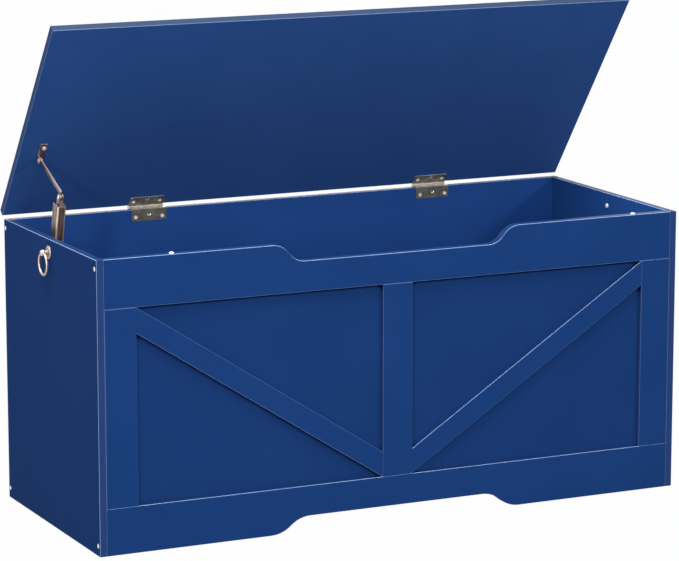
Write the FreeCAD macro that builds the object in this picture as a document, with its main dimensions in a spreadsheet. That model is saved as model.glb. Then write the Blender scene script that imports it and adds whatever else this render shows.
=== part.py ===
import FreeCAD, Part
import math
import os
import re
import Sketcher

# Storage chest: a board carcass with a framed front, a lid on two crank hinges,
# a folding lid stay on the left and a ring pull on each side.
# X runs along the front, Y from the front to the back, Z up. The lid stands open at rest.
# The origin lies on the floor, in the middle of the chest with its lid open.

document = FreeCAD.newDocument("storage_chest")
sheet = document.addObject("Spreadsheet::Sheet", "sizes")

# Driving sizes in millimetres, angles in degrees.
driving_sizes = {
    # carcass
    "chest_width": 1000,
    "chest_depth": 400,
    "chest_height": 455,
    "board": 12,
    "rail": 15,
    "edge_round": 0.9,
    "floor_clearance": 48,
    # framed front
    "top_rail_height": 76,
    "bottom_rail_height": 73,
    "strip": 7.5,
    "strip_width": 51,
    "brace_drop": 40,
    "field": 4.8,
    "groove": 5,
    "groove_depth": 6,
    "side_groove_depth": 5,
    "groove_play": 0.3,
    # shaped edges of the rails
    "hand_notch_width": 425,
    "hand_notch_depth": 28,
    "hand_notch_run": 54,
    "kick_notch_width": 433,
    "kick_notch_depth": 25,
    "kick_notch_run": 66,
    # lid
    "lid_board": 12,
    "lid_overhang": 2,
    "lid_gap": 3,
    "lid_open": 53,
    # crank hinges
    "hinge_length": 60,
    "hinge_place": 257,
    "hinge_leaf": 1.2,
    "knuckle": 5,
    "knuckle_play": 0.15,
    "hinge_pin": 2.4,
    "pin_setback": 3,
    "flange_drop": 19,
    "lid_leaf_reach": 21.5,
    "leaf_hole": 3.4,
    "leaf_hole_place": 23,
    "flange_hole_drop": 12.3,
    "flange_middle_hole_drop": 8.2,
    "lid_hole_reach": 12,
    "lid_middle_hole_reach": 16.5,
    "fit_play": 0.05,
    # small countersunk wood screws
    "wood_screw": 3,
    "wood_screw_head": 6,
    "wood_screw_length": 10,
    "screw_slot": 0.9,
    "screw_slot_depth": 0.5,
    # one-piece carcass screws
    "carcass_screw": 5,
    "carcass_screw_head": 7,
    "carcass_screw_head_depth": 2.5,
    "carcass_screw_length": 40,
    "carcass_screw_socket": 3,
    "carcass_screw_socket_depth": 1.5,
    "top_screw_drop": 14,
    "bottom_screw_rise": 16,
    # hidden board joints
    "dowel": 8,
    "dowel_length": 28,
    "dowel_in_side": 8,
    "dowel_end_gap": 0.5,
    "rail_dowel_drop": 45,
    "panel_dowel_place": 130,
    "cam": 15,
    "cam_depth": 9.5,
    "cam_inset": 24,
    "cam_place": 60,
    "cam_slot": 7.6,
    "cam_cross": 2,
    "cam_bolt": 6,
    "cam_bolt_in_side": 8.5,
    "cam_bolt_neck": 4,
    "cam_bolt_head": 6.8,
    "cam_bolt_head_length": 3,
    # bumpers under the lid
    "bumper": 8,
    "bumper_height": 2.6,
    "bumper_edge": 1,
    "left_bumper_place": 376,
    "right_bumper_place": 423,
    # ring pulls
    "pull_drop": 21,
    "rosette": 21,
    "rosette_rise": 2.8,
    "rosette_round": 2,
    "post_neck": 6,
    "post_ball": 10,
    "ring_standoff": 9.5,
    "ring_wire": 3.8,
    "ring_width": 34.4,
    "ring_hole": 5.2,
    "ring_rest_offset": 0.25,
    "pull_screw": 4,
    "pull_screw_head": 8,
    "pull_screw_head_height": 2.4,
    "pull_screw_bite": 4,
    # folding lid stay
    "stay_inset": 21,
    "stay_pivot_back": 254.35,
    "stay_pivot_drop": 34.26,
    "stay_lean": 13.16,
    "stay_reach": 93.7,
    "channel_width": 15,
    "channel_depth": 20,
    "channel_sheet": 1.2,
    "channel_round": 4,
    "channel_tail": 10,
    "channel_shoulder": 12,
    "channel_ear": 11,
    "pivot_pin": 5,
    "pivot_slot": 5.8,
    "pivot_slot_travel": 16.5,
    "pivot_head": 9,
    "pivot_head_thickness": 1.5,
    "side_play": 0.3,
    "elbow_pin": 4,
    "elbow_head": 7,
    "elbow_head_thickness": 1,
    "spacer": 7,
    "arm_thickness": 3,
    "arm_width": 6.4,
    "arm_eye": 10,
    "arm_elbow_rise": 3.4,
    "arm_elbow_side": 8,
    "lid_pivot_reach": 132,
    "lid_pivot_drop": 7,
    "lid_bracket_sheet": 1.5,
    "lid_bracket_width": 12.5,
    "lid_bracket_tail": 8,
    "lid_bracket_reach": 28,
    "lid_bracket_ear": 12,
    "lid_bracket_screw_reach": 20,
    "lid_bracket_screw_side": 4.2,
    "lid_bracket_screw_head": 7,
    "lid_bracket_screw_head_height": 1.8,
    "base_plate": 2,
    "base_plate_width": 36,
    "base_plate_above": 8,
    "base_plate_below": 22,
    "base_boss": 10,
    "base_screw_side": 11,
    "base_screw_drop": 14,
    "spring_guide_start": 26,
    "spring_guide_length": 46,
    "spring_flange": 3,
    "spring_core": 5,
    "spring_coil": 9,
    "spring_wire": 1.2,
    "spring_pitch": 3.2,
    # tool overrun for every cut that leaves a solid
    "overrun": 1,
}
for row, (alias, size) in enumerate(driving_sizes.items(), start=1):
    sheet.set(f"A{row}", alias)
    sheet.set(f"B{row}", str(size))
    sheet.setAlias(f"B{row}", alias)
document.recompute()

functions_of_cells = ("sin", "cos", "tan", "sqrt", "atan")
along_x = FreeCAD.Rotation(FreeCAD.Vector(0, 1, 0), 90)
along_y = FreeCAD.Rotation(FreeCAD.Vector(1, 0, 0), -90)
against_y = FreeCAD.Rotation(FreeCAD.Vector(1, 0, 0), 90)
against_x = FreeCAD.Rotation(FreeCAD.Vector(0, 1, 0), -90)
downward = FreeCAD.Rotation(FreeCAD.Vector(1, 0, 0), 180)
upright = FreeCAD.Rotation()
finished = []


def on_sheet(text):
    """A formula in the sheet's words, as an expression any object can read."""
    def full(word):
        return word.group() if word.group() in functions_of_cells else "sizes." + word.group()
    return re.sub(r"[a-z_]+", full, str(text))


def worth(text):
    """The number that a formula gives now."""
    return float(sheet.evalExpression(on_sheet(text)))


def bind(item, **formulas):
    for name, text in formulas.items():
        item.setExpression(name, on_sheet(text))


def bind_place(item, place, turn=upright):
    item.Placement = FreeCAD.Placement(FreeCAD.Vector(), turn)
    for axis, text in zip("xyz", place):
        item.setExpression("Placement.Base." + axis, on_sheet(text))


# Places that several pieces share, as formulas.
lid_reach_behind_pin = (
    "(sin(lid_open) * (lid_gap / 2 + lid_board - edge_round)"
    " - cos(lid_open) * (pin_setback + edge_round) + edge_round)")
front = f"(0 - (chest_depth + pin_setback + {lid_reach_behind_pin}) / 2)"
pin_y = f"({front} + chest_depth + pin_setback)"
pin_z = "(chest_height + lid_gap / 2)"
inner_width = "(chest_width - 2 * board)"
bay_height = "(chest_height - top_rail_height - bottom_rail_height)"
bay_width = f"(({inner_width} - 3 * strip_width) / 2)"
pull_z = "(chest_height - pull_drop)"
stay_x = "(board + stay_inset - chest_width / 2)"
stay_y = f"({front} + stay_pivot_back)"
stay_z = "(chest_height - stay_pivot_drop)"
elbow_y = f"({stay_y} - stay_reach * sin(stay_lean))"
elbow_z = f"({stay_z} + stay_reach * cos(stay_lean))"
lid_pivot_y = f"({pin_y} - lid_pivot_reach * cos(lid_open) - lid_pivot_drop * sin(lid_open))"
lid_pivot_z = f"({pin_z} + lid_pivot_reach * sin(lid_open) - lid_pivot_drop * cos(lid_open))"


def new_body(label):
    body = document.addObject("PartDesign::Body", label)
    body.Label = label
    finished.append(body)
    return body


def place(item, x, y, z, turn=upright):
    """Stands a sub-part in the chest; y counts from the chest's front face."""
    bind_place(item, (x, f"{front} + {y}", z), turn)


def place_on_lid(item, x, y, z):
    """Stands a sub-part on the open lid; y and z count from the hinge pin of the closed lid."""
    item.Placement = FreeCAD.Placement(FreeCAD.Vector(), FreeCAD.Rotation(FreeCAD.Vector(-1, 0, 0), 10))
    bind(item, **{
        "Placement.Base.x": x,
        "Placement.Base.y": f"{pin_y} + cos(lid_open) * ({y}) + sin(lid_open) * ({z})",
        "Placement.Base.z": f"{pin_z} - sin(lid_open) * ({y}) + cos(lid_open) * ({z})",
        "Placement.Rotation.Angle": "lid_open",
    })


def add(body, kind, at=("0", "0", "0"), turn=upright, **formulas):
    """One additive or subtractive primitive of a body."""
    item = body.newObject("PartDesign::" + kind, kind)
    bind_place(item, at, turn)
    bind(item, **formulas)
    return item


def box(body, at, size, cut=False):
    kind = "SubtractiveBox" if cut else "AdditiveBox"
    return add(body, kind, at, Length=size[0], Width=size[1], Height=size[2])


def rod(body, at, diameter, length, turn=upright, cut=False):
    kind = "SubtractiveCylinder" if cut else "AdditiveCylinder"
    return add(body, kind, at, turn, Radius=f"({diameter}) / 2", Height=length)


def countersink(body, at, mouth, foot, depth, turn):
    """A conical cut, widest at the place given and narrowing along the turned axis."""
    return add(body, "SubtractiveCone", at, turn, Radius1=f"({mouth}) / 2", Radius2=f"({foot}) / 2", Height=depth)


def round_edges(body, chosen, size="edge_round"):
    """Rounds the edges of the body so far that the test picks."""
    document.recompute()
    base = body.Tip
    names = [f"Edge{n}" for n, edge in enumerate(base.Shape.Edges, start=1) if chosen(edge)]
    fillet = body.newObject("PartDesign::Fillet", "Round")
    fillet.Base = (base, names)
    bind(fillet, Radius=size)
    document.recompute()
    return fillet


def outline(body, plane, corners, arcs=None):
    """A closed sketch through corners given as formulas; arcs maps a side's index to (radius, way)."""
    arcs = arcs or {}
    sketch = body.newObject("Sketcher::SketchObject", "Outline")
    support = next(item for item in body.Origin.OriginFeatures if item.Role == plane)
    sketch.AttachmentSupport = (support, [""])
    sketch.MapMode = "FlatFace"
    points = [FreeCAD.Vector(worth(x), worth(y), 0) for x, y in corners]
    ends = []
    for index, start in enumerate(points):
        end = points[(index + 1) % len(points)]
        if index in arcs:
            radius, way = worth(arcs[index][0]), arcs[index][1]
            chord = end - start
            rise = (radius ** 2 - (chord.Length / 2) ** 2) ** 0.5
            side = FreeCAD.Vector(-chord.y, chord.x, 0).normalize() * rise * way
            centre = (start + end) / 2 + side
            circle = Part.Circle(centre, FreeCAD.Vector(0, 0, 1), radius)
            first, last = (start, end) if way > 0 else (end, start)
            sketch.addGeometry(Part.ArcOfCircle(circle, circle.parameter(first), circle.parameter(last)), False)
            ends.append((1, 2) if way > 0 else (2, 1))
        else:
            sketch.addGeometry(Part.LineSegment(start, end), False)
            ends.append((1, 2))
    for index in range(len(points)):
        follower = (index + 1) % len(points)
        sketch.addConstraint(Sketcher.Constraint("Coincident", index, ends[index][1], follower, ends[follower][0]))
    for index, (x, y) in enumerate(corners):
        for kind, text in (("DistanceX", x), ("DistanceY", y)):
            number = sketch.addConstraint(
                Sketcher.Constraint(kind, -1, 1, index, ends[index][0], worth(text)))
            sketch.setExpression(f"Constraints[{number}]", on_sheet(text))
    for index, (radius, _) in arcs.items():
        number = sketch.addConstraint(Sketcher.Constraint("Radius", index, worth(radius)))
        sketch.setExpression(f"Constraints[{number}]", on_sheet(radius))
    return sketch


def pad(body, sketch, length, reverse=False):
    item = body.newObject("PartDesign::Pad", "Pad")
    item.Profile = sketch
    item.Reversed = reverse
    bind(item, Length=length)
    return item


def runs_along(edge, axis):
    """True for a straight edge parallel to the axis named."""
    if not isinstance(edge.Curve, Part.Line):
        return False
    return abs(abs(getattr(edge.Curve.Direction, axis)) - 1) < 1e-6


def lies_at(edge, axis, text):
    """True for an edge that lies in the plane where the axis named has the formula's value."""
    low = getattr(edge.BoundBox, axis.upper() + "Min")
    high = getattr(edge.BoundBox, axis.upper() + "Max")
    return abs(low - worth(text)) < 1e-4 and abs(high - worth(text)) < 1e-4


# Rows of places that screws, dowels and cams share with the boards they join.
screw_rows = ("bottom_screw_rise", "chest_height - top_screw_drop")
screw_columns = ("rail / 2", "chest_depth - board / 2")
rail_dowel_rows = ("bottom_rail_height - rail_dowel_drop", "chest_height - rail_dowel_drop")
panel_dowel_columns = ("panel_dowel_place", "chest_depth - panel_dowel_place")
cam_columns = ("cam_place", "chest_depth - cam_place")
panel_middle_z = "(floor_clearance + board / 2)"
dowel_hole = "dowel + 2 * fit_play"
screw_hole = "carcass_screw + 2 * fit_play"
sides = {"left": -1, "right": 1}


def side_panel(label, side):
    body = new_body(label)
    inner, outer = ("board", "0") if side < 0 else ("0", "board")
    inward, outward = (along_x, against_x) if side < 0 else (against_x, along_x)
    box(body, ("0", "0", "0"), ("board", "chest_depth", "chest_height"))
    round_edges(body, lambda edge: True)
    groove_x = "board - side_groove_depth" if side < 0 else "0 - overrun"
    box(body, (groove_x, "strip", "bottom_rail_height - groove_depth"),
        ("side_groove_depth + overrun", "groove", f"{bay_height} + 2 * groove_depth"), cut=True)
    for y in screw_columns:
        for z in screw_rows:
            rod(body, (outer, y, z), screw_hole, "board", inward, cut=True)
            countersink(body, (outer, y, z), "carcass_screw_head + 2 * fit_play", screw_hole,
                        "carcass_screw_head_depth", inward)
    for z in rail_dowel_rows:
        rod(body, (inner, "rail / 2", z), dowel_hole, "dowel_in_side", outward, cut=True)
    for y in panel_dowel_columns:
        rod(body, (inner, y, panel_middle_z), dowel_hole, "dowel_in_side", outward, cut=True)
    for y in cam_columns:
        rod(body, (inner, y, panel_middle_z), "cam_bolt + 2 * fit_play", "cam_bolt_in_side", outward, cut=True)
    rod(body, (outer, "chest_depth / 2", pull_z), "pull_screw + 2 * fit_play", "board", inward, cut=True)
    if side < 0:
        for way in (-1, 1):
            rod(body, (inner, f"stay_pivot_back + {way} * base_screw_side",
                       "chest_height - stay_pivot_drop - base_screw_drop"),
                "wood_screw + 2 * fit_play", "wood_screw_length - base_plate + fit_play", outward, cut=True)
    place(body, "0 - chest_width / 2" if side < 0 else "chest_width / 2 - board", "0", "0")


def end_holes(body, length, y, rows, diameter, depth):
    """The same blind holes in both ends of a board that lies along X."""
    for z in rows:
        rod(body, ("0", y, z), diameter, depth, along_x, cut=True)
        rod(body, (length, y, z), diameter, depth, against_x, cut=True)


def back_panel():
    body = new_body("back_panel")
    box(body, ("0", "0", "0"), (inner_width, "board", "chest_height"))
    round_edges(body, lambda edge: runs_along(edge, "x"))
    end_holes(body, inner_width, "board / 2", screw_rows, screw_hole, "carcass_screw_length - board + fit_play")
    for hinge in sides.values():
        for way in (-1, 1):
            rod(body, (f"{inner_width} / 2 + {hinge} * hinge_place + {way} * leaf_hole_place", "0",
                       "chest_height - flange_hole_drop"),
                "wood_screw + 2 * fit_play", "wood_screw_length - hinge_leaf + fit_play", along_y, cut=True)
    place(body, f"0 - {inner_width} / 2", "chest_depth - board", "0")


def bottom_panel():
    body = new_body("bottom_panel")
    box(body, ("0", "0", "0"), (inner_width, "chest_depth - rail - board", "board"))
    for y in panel_dowel_columns:
        end_holes(body, inner_width, f"{y} - rail", ("board / 2",), dowel_hole,
                  "dowel_length - dowel_in_side + dowel_end_gap")
    for y in cam_columns:
        end_holes(body, inner_width, f"{y} - rail", ("board / 2",), "cam_bolt_head + 4 * fit_play", "cam_inset")
        for x in ("cam_inset", f"{inner_width} - cam_inset"):
            rod(body, (x, f"{y} - rail", "0"), "cam + 2 * fit_play", "cam_depth + fit_play", cut=True)
    place(body, f"0 - {inner_width} / 2", "rail", "floor_clearance")


def notched_rail(label, height, notch_width, notch_depth, notch_run, opens_up, dowel_rise, screw_rise, z):
    """A front rail with a shallow notch whose ends are S-curves of two equal arcs."""
    body = new_body(label)
    middle = f"{inner_width} / 2"
    arc = f"({notch_run} ^ 2 + {notch_depth} ^ 2) / (4 * {notch_depth})"
    edge, floor, half = ((height, f"{height} - {notch_depth}", f"{height} - {notch_depth} / 2") if opens_up
                         else ("0", notch_depth, f"{notch_depth} / 2"))
    notch = [(f"{middle} + {notch_width} / 2", edge),
             (f"{middle} + {notch_width} / 2 - {notch_run} / 2", half),
             (f"{middle} + {notch_width} / 2 - {notch_run}", floor),
             (f"{middle} - {notch_width} / 2 + {notch_run}", floor),
             (f"{middle} - {notch_width} / 2 + {notch_run} / 2", half),
             (f"{middle} - {notch_width} / 2", edge)]
    if opens_up:
        corners = [("0", "0"), (inner_width, "0"), (inner_width, height)] + notch + [("0", height)]
        first, convex = 3, 1
    else:
        corners = [("0", height), (inner_width, height), (inner_width, "0")] + notch + [("0", "0")]
        first, convex = 3, -1
    arcs = {first: (arc, convex), first + 1: (arc, -convex), first + 3: (arc, -convex), first + 4: (arc, convex)}
    sketch = outline(body, "XZ_Plane", corners, arcs)
    pad(body, sketch, "rail", reverse=True)
    near_end = worth(inner_width)
    round_edges(body, lambda side: lies_at(side, "y", "0")
                and not (side.BoundBox.XMax < 1e-4 or side.BoundBox.XMin > near_end - 1e-4))
    groove_z = "0 - overrun" if opens_up else f"{height} - groove_depth"
    box(body, ("0 - overrun", "strip", groove_z),
        (f"{inner_width} + 2 * overrun", "groove", "groove_depth + overrun"), cut=True)
    end_holes(body, inner_width, "rail / 2", (screw_rise,), screw_hole, "carcass_screw_length - board + fit_play")
    end_holes(body, inner_width, "rail / 2", (dowel_rise,), dowel_hole,
              "dowel_length - dowel_in_side + dowel_end_gap")
    place(body, f"0 - {inner_width} / 2", "0", z)


def field_panel():
    body = new_body("field_panel")
    box(body, ("0", "0", "0"),
        (f"{inner_width} + 2 * side_groove_depth - 2 * groove_play", "field",
         f"{bay_height} + 2 * groove_depth - 2 * groove_play"))
    place(body, f"groove_play - side_groove_depth - {inner_width} / 2", "strip",
          "bottom_rail_height - groove_depth + groove_play")


def stile(label, x):
    body = new_body(label)
    box(body, ("0", "0", "0"), ("strip_width", "strip", bay_height))
    round_edges(body, lambda edge: runs_along(edge, "z") and lies_at(edge, "y", "0"))
    place(body, x, "0", "bottom_rail_height")


def brace(label, side):
    """A diagonal strip from the outer top corner of a bay to the foot of the middle stile."""
    body = new_body(label)
    outer, inner = ("0", bay_width) if side < 0 else (bay_width, "0")
    corners = [(outer, bay_height), (outer, f"{bay_height} - brace_drop"), (inner, "0"), (inner, "brace_drop")]
    pad(body, outline(body, "XZ_Plane", corners), "strip", reverse=True)
    round_edges(body, lambda edge: lies_at(edge, "y", "0") and not runs_along(edge, "z"))
    x = f"strip_width - {inner_width} / 2" if side < 0 else "strip_width / 2"
    place(body, x, "0", "bottom_rail_height")


def lid_panel():
    body = new_body("lid_panel")
    box(body, ("0", "0", "0"), ("chest_width + 2 * lid_overhang", "chest_depth", "lid_board"))
    round_edges(body, lambda edge: True)
    pilot = "wood_screw + 2 * fit_play"
    for hinge in sides.values():
        for way in (-1, 1):
            x = f"chest_width / 2 + lid_overhang + {hinge} * hinge_place + {way} * leaf_hole_place"
            rod(body, (x, "chest_depth + pin_setback - lid_hole_reach", "0"), pilot,
                "wood_screw_length - hinge_leaf + fit_play", cut=True)
    rod(body, (f"{stay_x} + lid_bracket_screw_side + chest_width / 2 + lid_overhang",
               "chest_depth + pin_setback - lid_pivot_reach - lid_bracket_screw_reach", "0"),
        pilot, "wood_screw_length - lid_bracket_sheet + fit_play", cut=True)
    place_on_lid(body, "0 - chest_width / 2 - lid_overhang", "0 - pin_setback - chest_depth", "lid_gap / 2")


def knuckles(body, owner):
    """Barrels round the pin, and the gaps that the other leaf's barrels turn in."""
    rod(body, ("0 - hinge_length / 2", "0", "0"), "knuckle", "hinge_length", along_x)
    rod(body, ("0 - hinge_length / 2 - overrun", "0", "0"), "hinge_pin + 2 * fit_play",
        "hinge_length + 2 * overrun", along_x, cut=True)
    for number in range(1 - owner, 5, 2):
        first = number == 0
        last = number == 4
        start = f"{number} * hinge_length / 5 - hinge_length / 2 - " + ("overrun" if first else "knuckle_play")
        spare = f"{int(first) + int(last)} * overrun + {2 - int(first) - int(last)} * knuckle_play"
        box(body, (start, "0 - knuckle / 2 - side_play", "0 - knuckle"),
            (f"hinge_length / 5 + {spare}", "knuckle + 2 * side_play", "2 * knuckle"), cut=True)


def carcass_leaf(label, side):
    """The cranked leaf: a flange inside the back panel, and a tab over its top edge to the pin."""
    body = new_body(label)
    flange_y = "0 - pin_setback - board - hinge_leaf"
    box(body, ("0 - hinge_length / 2", flange_y, "0 - lid_gap / 2 - flange_drop"),
        ("hinge_length", "hinge_leaf", "flange_drop + hinge_leaf"))
    round_edges(body, lambda edge: runs_along(edge, "y") and edge.BoundBox.ZMax < worth("0 - flange_drop"),
                "2 * hinge_leaf")
    box(body, ("0 - hinge_length / 2", flange_y, "0 - lid_gap / 2"),
        ("hinge_length", "pin_setback + board + hinge_leaf", "hinge_leaf"))
    knuckles(body, 0)
    places = [("0 - leaf_hole_place", "flange_hole_drop"), ("0", "flange_middle_hole_drop"),
              ("leaf_hole_place", "flange_hole_drop")]
    for x, drop in places:
        mouth = (x, flange_y, f"0 - lid_gap / 2 - {drop}")
        rod(body, mouth, "leaf_hole", "hinge_leaf", along_y, cut=True)
        countersink(body, mouth, "wood_screw_head + 2 * fit_play", "leaf_hole", "hinge_leaf", along_y)
    place(body, f"{side} * hinge_place", "chest_depth + pin_setback", pin_z)


def lid_leaf(label, side):
    body = new_body(label)
    box(body, ("0 - hinge_length / 2", "0 - lid_leaf_reach", "lid_gap / 2 - hinge_leaf"),
        ("hinge_length", "lid_leaf_reach", "hinge_leaf"))
    round_edges(body, lambda edge: runs_along(edge, "z") and edge.BoundBox.YMax < worth("0 - knuckle"),
                "2 * hinge_leaf")
    knuckles(body, 1)
    places = [("0 - leaf_hole_place", "lid_hole_reach"), ("0", "lid_middle_hole_reach"),
              ("leaf_hole_place", "lid_hole_reach")]
    for x, reach in places:
        mouth = (x, f"0 - {reach}", "lid_gap / 2 - hinge_leaf")
        rod(body, mouth, "leaf_hole", "hinge_leaf", cut=True)
        countersink(body, mouth, "wood_screw_head + 2 * fit_play", "leaf_hole", "hinge_leaf", upright)
    place_on_lid(body, f"{side} * hinge_place", "0", "0")


def hinge_pin(label, side):
    pin = document.addObject("Part::Cylinder", label)
    pin.Label = label
    bind(pin, Radius="hinge_pin / 2", Height="hinge_length")
    place(pin, f"{side} * hinge_place - hinge_length / 2", "chest_depth + pin_setback", pin_z, along_x)
    finished.append(pin)


def ring_pull(name, side):
    """A rosette, a post with a cross hole and a ring that hangs in it, held by a screw from inside."""
    outward, inward = (against_x, along_x) if side < 0 else (along_x, against_x)
    face = f"{side} * chest_width / 2"

    rosette = new_body("pull_rosette_" + name)
    rod(rosette, ("0", "0", "0"), "rosette", "rosette_rise")
    round_edges(rosette, lambda edge: lies_at(edge, "z", "rosette_rise"), "rosette_round")
    rod(rosette, ("0", "0", "0"), "post_neck + 2 * fit_play", "rosette_rise + overrun", cut=True)
    place(rosette, face, "chest_depth / 2", pull_z, outward)

    post = new_body("pull_post_" + name)
    rod(post, ("0", "0", "0"), "post_neck", "ring_standoff")
    add(post, "AdditiveSphere", ("0", "0", "ring_standoff"), Radius="post_ball / 2")
    rod(post, ("0", "0 - post_ball", "ring_standoff"), "ring_hole", "2 * post_ball", along_y, cut=True)
    rod(post, ("0", "0", "0"), "pull_screw + 2 * fit_play", "pull_screw_bite + side_play", cut=True)
    place(post, face, "chest_depth / 2", pull_z, outward)

    ring = document.addObject("Part::Torus", "pull_ring_" + name)
    ring.Label = "pull_ring_" + name
    bind(ring, Radius1="ring_width / 2", Radius2="ring_wire / 2")
    place(ring, f"{side} * (chest_width / 2 + ring_standoff)", "chest_depth / 2",
          f"{pull_z} - ring_width / 2 + ring_rest_offset", along_x)
    finished.append(ring)

    screw = new_body("pull_screw_" + name)
    rod(screw, ("0", "0", "0"), "pull_screw_head", "pull_screw_head_height")
    round_edges(screw, lambda edge: lies_at(edge, "z", "0"), "pull_screw_head_height / 2")
    rod(screw, ("0", "0", "0"), "pull_screw", "pull_screw_head_height + board + pull_screw_bite")
    for width, depth in (("screw_slot", "pull_screw_head / 2"), ("pull_screw_head / 2", "screw_slot")):
        box(screw, (f"0 - ({width}) / 2", f"0 - ({depth}) / 2", "0"), (width, depth, "2 * screw_slot_depth"),
            cut=True)
    place(screw, f"{side} * (chest_width / 2 - board - pull_screw_head_height)", "chest_depth / 2", pull_z, outward)


def stay_base():
    """The plate screwed to the left side panel, with the boss that carries the lower pivot."""
    body = new_body("stay_base")
    box(body, ("0", "0 - base_plate_width / 2", "0 - base_plate_below"),
        ("base_plate", "base_plate_width", "base_plate_above + base_plate_below"))
    round_edges(body, lambda edge: runs_along(edge, "x"), "2 * base_plate")
    rod(body, ("0", "0", "0"), "base_boss", "stay_inset - channel_width / 2 - side_play", along_x)
    rod(body, ("0", "0", "0"), "pivot_pin + 2 * fit_play", "stay_inset", along_x, cut=True)
    for way in (-1, 1):
        mouth = ("base_plate", f"{way} * base_screw_side", "0 - base_screw_drop")
        rod(body, mouth, "leaf_hole", "base_plate", against_x, cut=True)
        countersink(body, mouth, "wood_screw_head + 2 * fit_play", "leaf_hole", "hinge_leaf", against_x)
    place(body, "board - chest_width / 2", "stay_pivot_back", stay_z)

    pin = new_body("stay_pivot_pin")
    reach = "stay_inset + channel_width / 2 + side_play"
    rod(pin, ("0", "0", "0"), "pivot_pin", reach, along_x)
    rod(pin, (reach, "0", "0"), "pivot_head", "pivot_head_thickness", along_x)
    place(pin, "board - chest_width / 2", "stay_pivot_back", stay_z)


def stay_channel():
    """A folded channel, open at its back, slotted for the lower pivot and eared for the elbow."""
    body = new_body("stay_channel")
    top = "stay_reach - channel_shoulder"
    ear_top = "stay_reach + channel_ear / 2"
    box(body, ("0 - channel_width / 2", "0 - channel_depth / 2", "0 - channel_tail"),
        ("channel_width", "channel_depth", f"{ear_top} + channel_tail"))
    round_edges(body, lambda edge: runs_along(edge, "z") and edge.BoundBox.YMax < 0, "channel_round")
    box(body, ("channel_sheet - channel_width / 2", "channel_sheet - channel_depth / 2", "0 - channel_tail - overrun"),
        ("channel_width - 2 * channel_sheet", "channel_depth", f"{ear_top} + channel_tail + 2 * overrun"), cut=True)
    for y in ("0 - channel_depth / 2 - overrun", "channel_ear / 2"):
        box(body, ("0 - channel_width / 2 - overrun", y, top),
            ("channel_width + 2 * overrun", "(channel_depth - channel_ear) / 2 + overrun",
             "channel_shoulder + channel_ear"), cut=True)
    round_edges(body, lambda edge: runs_along(edge, "x") and lies_at(edge, "z", ear_top),
                "channel_ear / 2 - fit_play")
    wall = "channel_width + 2 * overrun"
    start_x = "0 - channel_width / 2 - overrun"
    rod(body, (start_x, "0", "0"), "pivot_slot", wall, along_x, cut=True)
    rod(body, (start_x, "0", "pivot_slot_travel"), "pivot_slot", wall, along_x, cut=True)
    box(body, (start_x, "0 - pivot_slot / 2", "0"), (wall, "pivot_slot", "pivot_slot_travel"), cut=True)
    rod(body, (start_x, "0", "stay_reach"), "elbow_pin + fit_play", wall, along_x, cut=True)
    lean(body, stay_x, stay_y, stay_z, "stay_lean")

    pin = new_body("stay_elbow_pin")
    half = "channel_width / 2"
    rod(pin, (f"0 - {half} - elbow_head_thickness", "0", "0"), "elbow_head", "elbow_head_thickness", along_x)
    rod(pin, (f"0 - {half} - elbow_head_thickness", "0", "0"), "elbow_pin",
        "channel_width + 2 * elbow_head_thickness", along_x)
    rod(pin, (half, "0", "0"), "elbow_head", "elbow_head_thickness", along_x)
    for x in (f"0 - {half} - elbow_head_thickness", f"{half} + elbow_head_thickness"):
        round_edges(pin, lambda edge, x=x: lies_at(edge, "x", x), "elbow_head_thickness / 2")
    lean(pin, stay_x, elbow_y, elbow_z, "stay_lean")

    for name, side in sides.items():
        spacer = new_body("stay_spacer_" + name)
        inner = "(arm_thickness / 2 + side_play)"
        length = "channel_width / 2 - channel_sheet - arm_thickness / 2 - 2 * side_play"
        start = inner if side > 0 else f"0 - {inner} - ({length})"
        rod(spacer, (start, "0", "0"), "spacer", length, along_x)
        rod(spacer, (f"{start} - overrun", "0", "0"), "elbow_pin + 2 * fit_play", f"{length} + 2 * overrun",
            along_x, cut=True)
        lean(spacer, stay_x, elbow_y, elbow_z, "stay_lean")

    guide = new_body("stay_spring_guide")
    inside = "channel_width - 2 * channel_sheet - 2 * side_play"
    depth = "channel_depth - 2 * channel_sheet - 2 * side_play"
    for z in ("0", "spring_guide_length - spring_flange"):
        box(guide, (f"0 - ({inside}) / 2", f"0 - ({depth}) / 2", z), (inside, depth, "spring_flange"))
    round_edges(guide, lambda edge: runs_along(edge, "z"), "channel_round - channel_sheet")
    rod(guide, ("0", "0", "0"), "spring_core", "spring_guide_length")
    lean(guide, stay_x, f"{stay_y} - spring_guide_start * sin(stay_lean)",
         f"{stay_z} + spring_guide_start * cos(stay_lean)", "stay_lean")

    coil = coil_shape(worth("(spring_coil - spring_wire) / 2"), worth("spring_pitch"), worth("spring_wire"),
                      worth("spring_guide_length - 2 * spring_flange - 2 * side_play"))
    spring = document.addObject("Part::Feature", "stay_spring")
    spring.Label = "stay_spring"
    spring.Shape = coil
    start = "spring_guide_start + spring_flange + side_play"
    lean(spring, stay_x, f"{stay_y} - ({start}) * sin(stay_lean)", f"{stay_z} + ({start}) * cos(stay_lean)",
         "stay_lean")
    finished.append(spring)


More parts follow.
